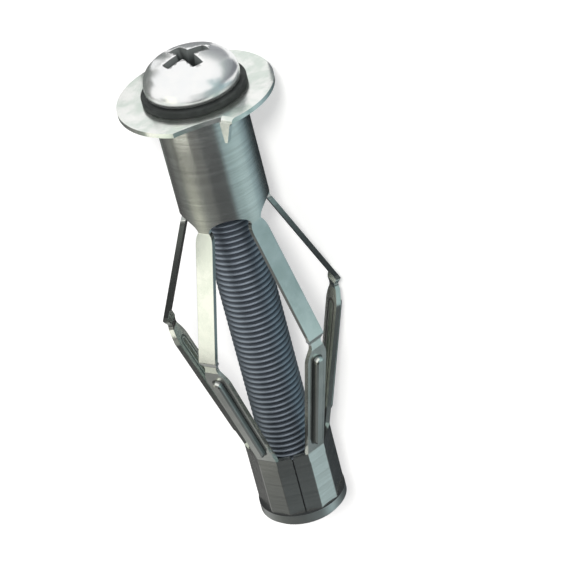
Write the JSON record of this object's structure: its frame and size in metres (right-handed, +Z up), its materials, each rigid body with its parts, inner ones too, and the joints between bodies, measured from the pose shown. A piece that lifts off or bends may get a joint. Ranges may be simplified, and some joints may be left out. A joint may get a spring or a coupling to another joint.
{
  "type": "hollow wall anchor",
  "caption": "Hollow wall anchor: a cross-recess pan-head screw with a washer runs through a flanged, slotted sheet-steel sleeve, its legs slightly spread, into a nut held in the collar.",
  "frame": {"origin": "on the surface that the anchor lies on, under the middle of its bounding box", "axes": "+X along the anchor towards the screw head, which leans down by 0.92 degrees; +Z up; +Y across. The anchor rests on the flange's rim and two knees, with one leg straight up."},
  "size_m": [0.0572, 0.0192, 0.0182],
  "materials": {
    "sleeve_steel": "zinc plated, lightly brushed",
    "screw_steel": "zinc plated, bright",
    "washer_dark": "dark, matt",
    "nut_steel": "zinc plated"
  },
  "bodies": {
    "sleeve_body": {"sleeve": "sleeve_steel", "nut": "nut_steel"},
    "washer_body": {"washer": "washer_dark"},
    "screw_body": {"screw": "screw_steel"}
  },
  "joints": [
    {"name": "screw_travel", "type": "slide", "parent": "sleeve_body", "child": "washer_body", "axis": [0.9999, 0, -0.016], "range_m": [0, 0.0091]},
    {"name": "screw_turn", "type": "hinge", "parent": "washer_body", "child": "screw_body", "pos_m": [0.0244, 0, 0.00805], "axis": [0.9999, 0, -0.016], "range_deg": [0, 5041]}
  ],
  "couplings": [
    {"joint": "screw_turn", "follows": "screw_travel", "rad_per_m": 9666.4}
  ]
}
